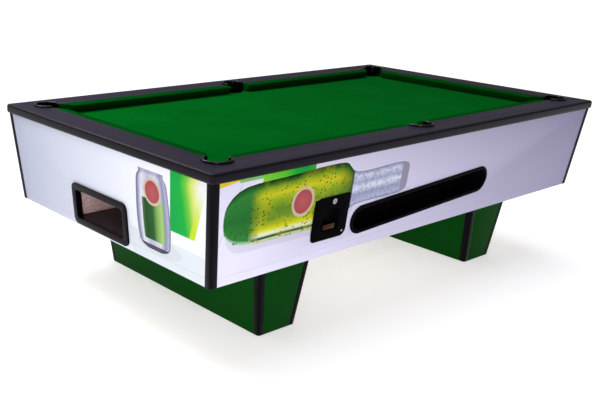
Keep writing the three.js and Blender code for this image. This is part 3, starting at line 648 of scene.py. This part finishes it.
        picture = painted(tree, picture, metal, can)
        picture = badge(y, (-0.330, 0.0, 0.587), 0.049)
        picture = painted(tree, picture, "#2c283c", (along, 0.0, 0.06), can, 0.9)
        picture = painted(tree, picture, "#8886a4", (along, 0.955, 1.0), can, 0.5)
        # The pale green ground that the can stands on.
        no_can = add(tree, "ShaderNodeMath", {0: 1.0, 1: can}, operation="SUBTRACT")
        picture = painted(tree, picture, "#c9d3d4", (z, 0.30, 0.428), (y, -0.9, -0.19), no_can, 0.5)
    # The lower edge of the print, a hair's width of shadow above the bottom of the board.
    picture = painted(tree, picture, "#8d88a8", (z, CABINET_BOTTOM + 0.0315, CABINET_BOTTOM + 0.0330), 0.4)
    join(tree, picture, shader.inputs["Base Color"])
    film = add(tree, "ShaderNodeTexNoise", {"Vector": where, "Scale": 1 / 0.02, "Detail": 2.0})
    bump = add(tree, "ShaderNodeBump", {"Height": film, "Strength": 0.05, "Distance": 0.0005})
    join(tree, bump, shader.inputs["Normal"])
    return material


def lined_plywood():
    """Raw birch plywood walls with a dark painted floor, for the inside of the cue-ball box."""
    material = timber("lined_plywood", "#f2d6d4", "#cdaaab", 0.006, along=(14.0, 1.0, 14.0))
    tree = material.node_tree
    shader = next(n for n in tree.nodes if n.type == "BSDF_PRINCIPLED")
    where = next(n for n in tree.nodes if n.type == "TEX_COORD").outputs["Object"]
    raw = shader.inputs["Base Color"].links[0].from_socket
    height = add(tree, "ShaderNodeSeparateXYZ", {0: where}).outputs[2]
    floor_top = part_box("cue_return_frame")[0].z + 0.0265
    join(tree, painted(tree, raw, "#2e282d", (height, 0.0, floor_top)), shader.inputs["Base Color"])
    return material


MAKERS = {
    "charcoal_laminate": charcoal_laminate,
    "bed_cloth": lambda: worsted_cloth("bed_cloth", 1.0),
    # The cushion cloth is the bed cloth at 0.6 of its colour: painted shade.
    "cushion_cloth": lambda: worsted_cloth("cushion_cloth", 0.6),
    "gloss_black": lambda: black_plastic("moulded_gloss_black", 0.14, 0.12, 0.008),
    "rim_black": lambda: black_plastic("polished_rim_black", 0.12, 0.04, 0.3),
    "trim_black": lambda: black_plastic("extruded_trim_black", 0.2, 0.08, 0.05),
    "green_laminate": green_laminate,
    "print_front": lambda: printed_laminate("front"),
    "print_left": lambda: printed_laminate("left"),
    "print_plain": lambda: printed_laminate("plain"),
    "lined_plywood": lined_plywood,
    # Birch plywood: pale, with wide rings from the peeling knife.
    "birch_plywood": lambda: timber("birch_plywood", "#dcd4ca", "#b3a89b", 0.012),
    # Planed pine: yellow, with dark late wood about 4 mm apart.
    "planed_pine": lambda: timber("planed_pine", "#d6bd98", "#a98a62", 0.004, (12.0, 1.0, 12.0)),
    # Honed slate: grey-blue, dull, with fine mineral specks.
    "honed_slate": lambda: speckled(
        "honed_slate", "#3c4147", "#5d636a", 0.003, 0.3, Roughness=0.7, IOR=1.55),
    # Extruded grey PVC: even, slightly waxy.
    "grey_pvc": lambda: speckled("grey_pvc", "#4c4f53", "#5c6064", 0.006, 0.1, Roughness=0.45, IOR=1.53),
    # Bright zinc plate: bluish, with a fine spangle that dulls the reflections.
    "zinc_plate": lambda: speckled(
        "zinc_plate", "#9aa1aa", "#c3c9cf", 0.004, 0.08, Metallic=1.0, Roughness=0.32),
    # Black powder coat on steel: a fine leathery texture.
    "powder_coat": lambda: speckled(
        "powder_coat", "#040406", "#09090b", 0.0016, 0.35,
        Roughness=0.45, IOR=1.5, Specular_IOR_Level=0.006),
    # Black moulded nylon: dull, from a spark-eroded mould.
    "black_nylon": lambda: speckled(
        "black_nylon", "#050507", "#0c0c0f", 0.0012, 0.3,
        Roughness=0.55, IOR=1.53, Specular_IOR_Level=0.03),
    # Cast brass, browned by tarnish and painted darker still as shade from the well it sits in; the
    # tarnish is patchy.
    "cast_brass": lambda: speckled(
        "cast_brass", "#1e130a", "#472c14", 0.006, 0.15, Metallic=1.0, Roughness=0.42),
    # Polished chrome plate.
    "chrome_plate": lambda: speckled(
        "chrome_plate", "#70737a", "#a4a7ad", 0.003, 0.03, Metallic=1.0, Roughness=0.16),
}
made = {}


def material_named(name):
    """A finish, made the first time that it is asked for."""
    if name not in made:
        made[name] = MAKERS[name]()
    return made[name]


# ---------------------------------------------------------------- pieces

def pocket_places():
    """Each pocket's node, centre and the way it faces, from its liner's box."""
    sizes = bpy.context.scene.pool_sizes
    reach = sizes.pocket + sizes.liner_wall + sizes.liner_rim
    places = {}
    for side, sy in {"front": -1, "back": 1}.items():
        for end, sx in {"left": -1, "middle": 0, "right": 1}.items():
            node = f"pocket_liner_{side}_{end}"
            low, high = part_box(node)
            x = 0.0 if sx == 0 else (high.x - reach if sx > 0 else low.x + reach)
            y = high.y - reach if sy > 0 else low.y + reach
            places[node] = (Vector((x, y, 0)), math.atan2(-sy, -sx), sx)
    return places


def pocket_drills(radius, low, high):
    """One cutter of six fine upright cylinders at the pockets."""
    bpy.ops.object.select_all(action="DESELECT")
    drills = []
    for centre, _, _ in pocket_places().values():
        bpy.ops.mesh.primitive_cylinder_add(
            vertices=96, radius=radius, depth=high - low,
            location=centre + Vector((0, 0, (low + high) / 2)),
        )
        drills.append(bpy.context.object)
    activate(drills[0])
    for drill in drills:
        drill.select_set(True)
    bpy.ops.object.join()
    bpy.ops.object.transform_apply()
    return added("pocket_drills")


class POOL_OT_rails(bpy.types.Operator):
    """Four bullnosed rails, mitred at the corners and cut round the pockets"""

    bl_idname = "pool_table.rails"
    bl_label = "Rails"

    def execute(self, context):
        sizes = context.scene.pool_sizes
        for name, quarter in QUARTERS.items():
            long_side = quarter % 2 == 0
            half, width = (HALF_LENGTH, HALF_WIDTH) if long_side else (HALF_WIDTH, HALF_LENGTH)
            half -= sizes.gap / 2
            r = sizes.rail_corner
            inner = half - RAIL_WIDTH - sizes.gap / math.sqrt(2)
            corner = arc(half - r, -width + r, r, -90, -45, 8)
            plan = corner + [(inner, -width + RAIL_WIDTH), (-inner, -width + RAIL_WIDTH)]
            plan += [(-u, v) for u, v in reversed(corner)]
            rail = outlined(
                f"rail_top_{name}", [(u, v, RAIL_BOTTOM) for u, v in plan], (0, 0, RAIL_TOP - RAIL_BOTTOM)
            )
            round_edges(
                rail, lambda a, b: near(a.z, b.z) and max(a.y, b.y) < -width + r, sizes.rail_edge, 6
            )
            place(rail, Matrix.Rotation(quarter * math.pi / 2, 4, "Z"))
            drill_radius = sizes.pocket + sizes.liner_wall + sizes.gap
            cut(rail, pocket_drills(drill_radius, RAIL_BOTTOM - OVERCUT, RAIL_TOP + OVERCUT))
            soften(rail, 0.0006, 2, 50)
            put_on(rail, material_named("charcoal_laminate"), f"rail_{name}")
        return {"FINISHED"}


class POOL_OT_cushions(bpy.types.Operator):
    """Six cloth-covered rubber cushions, cut back at the pocket jaws"""

    bl_idname = "pool_table.cushions"
    bl_label = "Cushions"

    def execute(self, context):
        for node in [n for n in frame["nodes"] if n.startswith("cushion_")]:
            self.cushion(context.scene.pool_sizes, node)
        return {"FINISHED"}

    def cushion(self, sizes, node):
        """Made lying along +X with its back towards -Y, then turned into place."""
        low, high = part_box(node)
        quarter = QUARTERS[node.split("_")[1]]
        turn = Matrix.Rotation(quarter * math.pi / 2, 4, "Z")
        corners = [turn.inverted() @ Vector((u, v, 0)) for u in (low.x, high.x) for v in (low.y, high.y)]
        start, stop = min(c.x for c in corners), max(c.x for c in corners)
        back, nose = min(c.y for c in corners), max(c.y for c in corners)
        top, tip = high.z, RAIL_TOP - sizes.cushion_drop
        crown = back + (nose - back) * 0.55
        section = [
            (back, low.z), (nose - sizes.cushion_undercut, low.z), (nose, tip - sizes.cushion_face),
            (nose, tip), (crown, top), (back, top),
        ]
        piece = outlined(f"covered_{node}", [(start, v, w) for v, w in section], (stop - start, 0, 0))
        for line, rounding, segments in ((crown, 0.011, 6), (nose, 0.0028, 5)):
            round_edges(
                piece, lambda a, b: near(a.y, line) and near(b.y, line) and near(a.z, b.z),
                rounding, segments,
            )
        end_cushion = quarter % 2 == 1
        for jaw, sign in ((start, 1), (stop, -1)):
            if end_cushion or abs(jaw) > HALF_LENGTH / 2:
                select_whole(piece)
                bpy.ops.mesh.bisect(
                    plane_co=(jaw, back, 0), plane_no=(-sign, 1, 0), use_fill=True, clear_outer=True
                )
                bpy.ops.object.mode_set(mode="OBJECT")
        place(piece, turn)
        soften(piece, 0.004, 4, 50)
        # The cushions get the cloth darkened as painted shade.
        put_on(piece, material_named("cushion_cloth"), node)


class POOL_OT_pockets(bpy.types.Operator):
    """Six pocket liners with raised rims, open towards the bed"""

    bl_idname = "pool_table.pockets"
    bl_label = "Pocket liners"

    def liner(self, sizes, name, mouth_from):
        low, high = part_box("pocket_liner_front_left")
        inner = sizes.pocket
        outer = inner + sizes.liner_wall
        rim = outer + sizes.liner_rim
        top, seat, bead = high.z, RAIL_TOP + sizes.gap, sizes.liner_bead
        section = [(inner, low.z), (outer, low.z), (outer, seat), (rim, seat)]
        section += arc(rim - bead, top - bead, bead, 0, 90, 6)
        section += arc(inner + bead, top - bead, bead, 90, 180, 6)
        ring = outlined(name, [(r, 0, z) for r, z in section], fill="NOTHING")
        select_whole(ring)
        bpy.ops.mesh.spin(steps=96, angle=2 * math.pi, center=(0, 0, 0), axis=(0, 0, 1))
        bpy.ops.mesh.select_all(action="SELECT")
        bpy.ops.mesh.remove_doubles(threshold=MERGE)
        bpy.ops.mesh.normals_make_consistent(inside=False)
        bpy.ops.object.mode_set(mode="OBJECT")
        past = 0.01  # how far the cutter goes past the ring
        cut(ring, block(
            "mouth", (mouth_from, -rim - past, BED_TOP - 0.001), (2 * rim, rim + past, top + past)
        ))
        soften(ring, 0.0008, 3, 50)
        return ring

    def execute(self, context):
        sizes = context.scene.pool_sizes
        shapes = {
            True: self.liner(sizes, "corner_liner", sizes.corner_mouth),
            False: self.liner(sizes, "middle_liner", sizes.middle_mouth),
        }
        for node, (centre, facing, sx) in pocket_places().items():
            piece = bpy.data.objects.new(f"moulded_{node}", shapes[sx != 0].data.copy())
            context.collection.objects.link(piece)
            place(piece, Matrix.Translation(centre) @ Matrix.Rotation(facing, 4, "Z"))
            put_on(piece, material_named("rim_black"), node)
        for shape in shapes.values():
            bpy.data.objects.remove(shape)
        return {"FINISHED"}


class POOL_OT_bed(bpy.types.Operator):
    """The cloth stretched over the slate, and the slate and bearers under it"""

    bl_idname = "pool_table.bed"
    bl_label = "Bed"

    def execute(self, context):
        sizes = context.scene.pool_sizes
        low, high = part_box("bed_cloth")
        cloth = block("stretched_cloth", low, high)
        select(cloth, "polygons", lambda face: abs(face.normal.z) > 0.5)
        bpy.ops.mesh.subdivide(number_cuts=3)
        bpy.ops.object.mode_set(mode="OBJECT")
        drill_radius = sizes.pocket + sizes.liner_wall + sizes.gap
        cut(cloth, pocket_drills(drill_radius, low.z - OVERCUT, high.z + OVERCUT))
        soften(cloth, 0.0003, 2, 50)
        put_on(cloth, material_named("bed_cloth"), "bed_cloth")
        recolour("slate_bed", material_named("honed_slate"))
        for end in ("left", "right"):
            recolour(f"slate_bearer_{end}", material_named("planed_pine"))
        return {"FINISHED"}


class POOL_OT_cabinet(bpy.types.Operator):
    """Four printed panels, the corner posts and the floor board"""

    bl_idname = "pool_table.cabinet"
    bl_label = "Cabinet"

    def execute(self, context):
        edge = context.scene.pool_sizes.soft_edge
        prints = {"front": "front", "left": "left", "back": "plain", "right": "plain"}
        for side, picture in prints.items():
            refined(f"cabinet_panel_{side}", material_named(f"print_{picture}"), edge)
        for side in ("front", "back"):
            for end in ("left", "right"):
                refined(f"corner_post_{side}_{end}", material_named("trim_black"), edge)
        refined("cabinet_floor", material_named("birch_plywood"), edge)
        return {"FINISHED"}


def front_tilt():
    """How far the cabinet's sides lean, from the front panel's box."""
    low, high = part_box("cabinet_panel_front")
    taper = high.y - low.y - bpy.context.scene.pool_sizes.panel
    return math.atan2(taper, CABINET_TOP - CABINET_BOTTOM)


def on_front(x, z):
    """A frame on the leaning front panel: x along it, y into the cabinet, z up its face."""
    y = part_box("cabinet_panel_front")[0].y + math.tan(front_tilt()) * (CABINET_TOP - z)
    return Matrix.Translation((x, y, z)) @ Matrix.Rotation(front_tilt(), 4, "X")


class POOL_OT_tray(bpy.types.Operator):
    """The moulded ball tray: a flange, a deep bowl and the slot that balls roll in through"""

    bl_idname = "pool_table.tray"
    bl_label = "Ball tray"

    def execute(self, context):
        sizes = context.scene.pool_sizes
        radius = sizes.tray_height / 2
        straight = sizes.tray_length / 2 - radius
        outline = arc(straight, 0, radius, -90, 90, 24) + arc(-straight, 0, radius, 90, 270, 24)
        back = sizes.tray_depth - sizes.tray_wall
        face = -0.0034  # the front of the flange, proud of the panel
        narrowing = (0.985, 1, 0.94)  # towards the back, so that the tray leaves its mould
        tray = outlined("moulded_tray", [(u, -sizes.gap, w) for u, w in outline], (0, face + sizes.gap, 0))
        select(tray, "polygons", lambda f: f.normal.y > 0.5)
        bpy.ops.mesh.delete(type="ONLY_FACE")
        select(tray, "polygons", lambda f: f.normal.y < -0.5)
        bpy.ops.mesh.inset(thickness=sizes.tray_flange + sizes.tray_wall)
        bpy.ops.mesh.extrude_region_move(
            TRANSFORM_OT_translate={"value": (0, back - face, 0)}
        )
        bpy.ops.transform.resize(value=narrowing, center_override=(0, 0, 0))
        for depth, rounding in ((back, 0.005), (face, 0.0022)):
            round_edges(tray, lambda a, b: near(a.y, depth) and near(b.y, depth), rounding, 4)
        apply_modifier(tray, "SOLIDIFY", thickness=sizes.tray_wall - 0.0006, offset=-1.0)
        inlet_half = straight - 0.02
        inlet_top = radius - sizes.tray_flange - 2 * sizes.tray_wall
        cut(tray, block(
            "inlet", (-inlet_half, back - 2 * sizes.tray_wall, inlet_top - sizes.tray_inlet),
            (inlet_half, back + 3 * sizes.tray_wall, inlet_top),
        ))
        low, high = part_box("ball_tray")
        centre = on_front((low.x + high.x) / 2, (low.z + high.z) / 2)
        place(tray, centre @ Matrix.Rotation(-sizes.tray_rise, 4, "Y"))
        soften(tray, 0.0)
        put_on(tray, material_named("gloss_black"), "ball_tray")
        return {"FINISHED"}


class POOL_OT_cue_return(bpy.types.Operator):
    """The moulded frame of the cue-ball return and the plywood box behind it"""

    bl_idname = "pool_table.cue_return"
    bl_label = "Cue-ball return"

    def execute(self, context):
        refined("cue_return_frame", material_named("trim_black"), 0.0025, 4)
        recolour("cue_return_box", material_named("lined_plywood"))
        return {"FINISHED"}


class POOL_OT_coin_door(bpy.types.Operator):
    """The coin door with its hinge, lock, mechanism, slide and screw"""

    bl_idname = "pool_table.coin_door"
    bl_label = "Coin door"

    def execute(self, context):
        refined("coin_door", material_named("powder_coat"), 0.0009)
        refined("coin_door_hinge", material_named("powder_coat"), 0.0002)
        refined("coin_mech_body", material_named("black_nylon"), 0.0012)
        refined("lock_barrel", material_named("chrome_plate"), 0.0004)
        # The slide's brass is painted darker as shade from its well.
        refined("coin_slide", material_named("cast_brass"), 0.0008)
        self.screw()
        refined("cash_box", material_named("powder_coat"), 0.0006)
        return {"FINISHED"}

    def screw(self):
        """A slotted pan-head screw in the door's lower right corner."""
        low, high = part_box("coin_door")
        radius, rise, half_slot = 0.004, 0.0018, 0.0005
        inset, door_face = 0.021, -0.0039
        bpy.ops.object.select_all(action="DESELECT")
        bpy.ops.mesh.primitive_cylinder_add(
            vertices=32, radius=radius, depth=rise,
            rotation=(math.pi / 2, 0, 0), location=(0, -rise / 2, 0),
        )
        screw = added("coin_door_screw")
        bpy.ops.object.transform_apply()
        round_edges(screw, lambda a, b: near(a.y, -rise) and near(b.y, -rise), rise / 2, 4)
        cut(screw, block("slot", (-half_slot, -2 * rise, -2 * radius), (half_slot, -rise / 2, 2 * radius)))
        place(screw, on_front(high.x - inset, low.z + inset) @ Matrix.Translation((0, door_face, 0)))
        soften(screw, 0.0)
        screw.data.materials.append(material_named("zinc_plate"))
        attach(screw, "coin_door")


class POOL_OT_ball_runs(bpy.types.Operator):
    """The gullies, chute and tipping trough under the bed"""

    bl_idname = "pool_table.ball_runs"
    bl_label = "Ball runs"

    def execute(self, context):
        for node in ("gully_front", "gully_back", "cross_chute", "tipping_trough"):
            recolour(node, material_named("grey_pvc"))
        recolour("trough_shaft", material_named("zinc_plate"))
        recolour("trough_carrier", material_named("birch_plywood"))
        return {"FINISHED"}


class POOL_OT_pedestals(bpy.types.Operator):
    """Two pedestals of leaning green boards with black corner trims"""

    bl_idname = "pool_table.pedestals"
    bl_label = "Pedestals"

    def execute(self, context):
        edge = context.scene.pool_sizes.soft_edge
        for node in [n for n in frame["nodes"] if n.startswith("pedestal_")]:
            finish = "green_laminate" if "_board_" in node else "trim_black"
            refined(node, material_named(finish), edge)
        return {"FINISHED"}


# The camera stands off the near left corner at standing height.
CAMERA_PLACE = Vector((-2.7594, -2.5090, 1.4010))
CAMERA_YAW, CAMERA_PITCH, CAMERA_ROLL = 0.6859, -0.3292, 0.0260
CAMERA_LENS = 50.846
CAMERA_SHIFT = (0.1865, 0.0419)


class POOL_OT_stage(bpy.types.Operator):
    """The pale floor, the soft lights and the camera"""

    bl_idname = "pool_table.stage"
    bl_label = "Stage"

    def execute(self, context):
        self.floor()
        self.lights(context)
        self.camera(context)
        return {"FINISHED"}

    def floor(self):
        bpy.ops.object.select_all(action="DESELECT")
        bpy.ops.mesh.primitive_plane_add(size=160, location=(0, 0, -0.0005))
        floor = added("floor")
        material, tree, shader, where = new_material(
            "studio_floor", Roughness=0.9, Emission_Color=(1.0, 1.0, 1.0, 1.0), Emission_Strength=0.5
        )
        noise = add(tree, "ShaderNodeTexNoise", {"Vector": where, "Scale": 0.8, "Detail": 2.0})
        mottled(tree, shader, noise, linear("#f7f7f8"), linear("#fbfbfc"))
        floor.data.materials.append(material)

    def lights(self, context):
        context.scene.view_settings.view_transform = "Standard"
        world = bpy.data.worlds.new("studio")
        context.scene.world = world
        world.use_nodes = True
        world.node_tree.nodes["Background"].inputs[0].default_value = (0.95, 0.96, 1.0, 1.0)
        world.node_tree.nodes["Background"].inputs[1].default_value = 0.2
        sun = bpy.data.lights.new("daylight", "SUN")
        sun.energy, sun.angle = 1.6, math.radians(60)
        overhead = bpy.data.objects.new("daylight", sun)
        context.collection.objects.link(overhead)
        overhead.rotation_euler = Vector((-0.05, -0.3, -1.0)).to_track_quat("-Z", "Y").to_euler()
        rigs = [
            ("near_fill", (-3.4, -2.8, 0.40), 1.2, 36.0),
            ("overhead", (-1.35, 1.15, 2.05), 1.3, 26.0),
            ("glint", (-3.1, -3.4, 2.4), 0.05, 16.0),
        ]
        for name, spot, size, power in rigs:
            data = bpy.data.lights.new(name, "AREA")
            data.size = size
            data.energy = power
            light = bpy.data.objects.new(name, data)
            context.collection.objects.link(light)
            light.location = spot
            aim = Vector((0, 0, 0.5)) - light.location
            light.rotation_euler = aim.to_track_quat("-Z", "Y").to_euler()

    def camera(self, context):
        data = bpy.data.cameras.new("camera")
        data.sensor_width = 36.0
        data.lens = CAMERA_LENS
        data.shift_x, data.shift_y = CAMERA_SHIFT
        camera = bpy.data.objects.new("camera", data)
        context.collection.objects.link(camera)
        yaw, pitch = CAMERA_YAW, CAMERA_PITCH
        ahead = Vector((
            math.sin(yaw) * math.cos(pitch), math.cos(yaw) * math.cos(pitch), math.sin(pitch)
        ))
        level = Vector((math.cos(yaw), -math.sin(yaw), 0))
        above = level.cross(ahead)
        right = level * math.cos(CAMERA_ROLL) + above * math.sin(CAMERA_ROLL)
        up = above * math.cos(CAMERA_ROLL) - level * math.sin(CAMERA_ROLL)
        facing = Matrix((right, up, -ahead)).transposed().to_4x4()
        camera.matrix_world = Matrix.Translation(CAMERA_PLACE) @ facing
        context.scene.camera = camera


OPERATORS = (
    POOL_OT_stage,
    POOL_OT_rails,
    POOL_OT_cushions,
    POOL_OT_pockets,
    POOL_OT_bed,
    POOL_OT_cabinet,
    POOL_OT_tray,
    POOL_OT_cue_return,
    POOL_OT_coin_door,
    POOL_OT_ball_runs,
    POOL_OT_pedestals,
)


class POOL_PT_panel(bpy.types.Panel):
    """Sizes, colours and a button for each group of pieces"""

    bl_label = "Pool Table"
    bl_idname = "POOL_PT_panel"
    bl_space_type = "VIEW_3D"
    bl_region_type = "UI"
    bl_category = "Pool Table"

    def draw(self, context):
        for group in (context.scene.pool_sizes, context.scene.pool_colours):
            box = self.layout.box()
            for key in group.__annotations__:
                box.prop(group, key)
        for operator in OPERATORS:
            self.layout.operator(operator.bl_idname)


CLASSES = (PoolTableSizes, PoolTableColours, *OPERATORS, POOL_PT_panel)


def register():
    for cls in CLASSES:
        bpy.utils.register_class(cls)
    bpy.types.Scene.pool_sizes = PointerProperty(type=PoolTableSizes)
    bpy.types.Scene.pool_colours = PointerProperty(type=PoolTableColours)


def unregister():
    del bpy.types.Scene.pool_colours
    del bpy.types.Scene.pool_sizes
    for cls in reversed(CLASSES):
        bpy.utils.unregister_class(cls)


def main():
    register()
    for operator in OPERATORS:
        family, name = operator.bl_idname.split(".")
        getattr(getattr(bpy.ops, family), name)()


if __name__ == "__main__":
    main()
